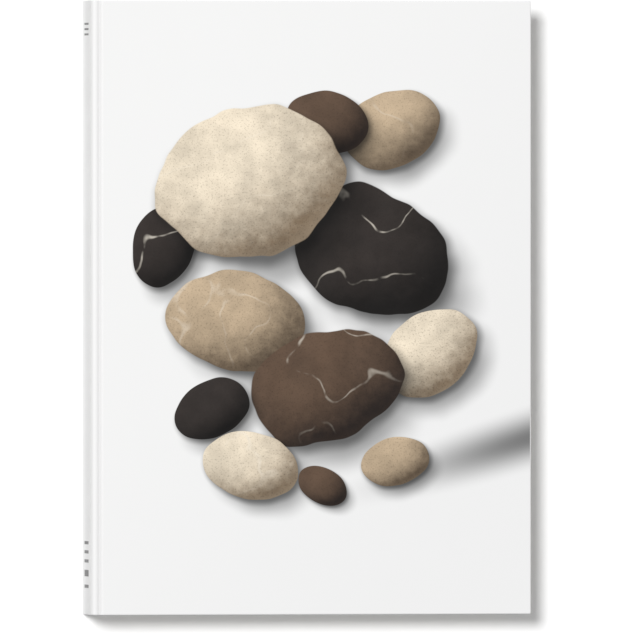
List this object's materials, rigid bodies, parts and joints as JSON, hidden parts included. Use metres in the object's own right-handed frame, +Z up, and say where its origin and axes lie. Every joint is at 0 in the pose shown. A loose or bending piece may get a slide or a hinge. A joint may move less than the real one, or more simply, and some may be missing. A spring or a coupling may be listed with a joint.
{
  "type": "hardcover book",
  "caption": "Large hardcover book with sewn sections and a flat spine; its case opens on two joints to lie flat at the middle of the page block.",
  "frame": {"origin": "middle of the closed book's footprint, on the surface that the back cover lies on", "axes": "+X from the spine to the fore edge, +Y from the tail to the head, +Z up out of the front cover"},
  "size_m": [0.2204, 0.303, 0.0283],
  "materials": {
    "printed_sheet": "satin",
    "board": "matte",
    "page": "matte",
    "endpaper": "matte",
    "lining": "matte",
    "band": "matte",
    "thread": "matte"
  },
  "bodies": {
    "back_cover": {"back_wrap": "printed_sheet", "back_board": "board", "back_endpaper": "endpaper", "section_01": "page", "section_02": "page", "section_03": "page", "section_04": "page", "section_05": "page", "section_06": "page", "section_07": "page", "section_08": "page"},
    "spine": {"spine_wrap": "printed_sheet", "spine_board": "board", "back_joint": "printed_sheet", "front_joint": "printed_sheet", "spine_lining": "lining", "sewing_thread_1": "thread", "sewing_thread_2": "thread", "sewing_thread_3": "thread", "sewing_thread_4": "thread", "sewing_thread_5": "thread", "headband": "band", "tailband": "band"},
    "front_cover": {"front_wrap": "printed_sheet", "front_board": "board", "front_endpaper": "endpaper", "section_09": "page", "section_10": "page", "section_11": "page", "section_12": "page", "section_13": "page", "section_14": "page", "section_15": "page", "section_16": "page"}
  },
  "joints": [
    {"name": "spine_hinge", "type": "hinge", "parent": "back_cover", "child": "spine", "pos_m": [-0.1071, 0, 0.0032], "axis": [0, -1, 0], "range_deg": [0, 90], "deforming": ["back_joint"]},
    {"name": "front_cover_hinge", "type": "hinge", "parent": "spine", "child": "front_cover", "pos_m": [-0.1071, 0, 0.02512], "axis": [0, -1, 0], "range_deg": [0, 90], "deforming": ["front_joint"]}
  ],
  "couplings": [
    {"joint": "front_cover_hinge", "follows": "spine_hinge", "ratio": 1}
  ]
}
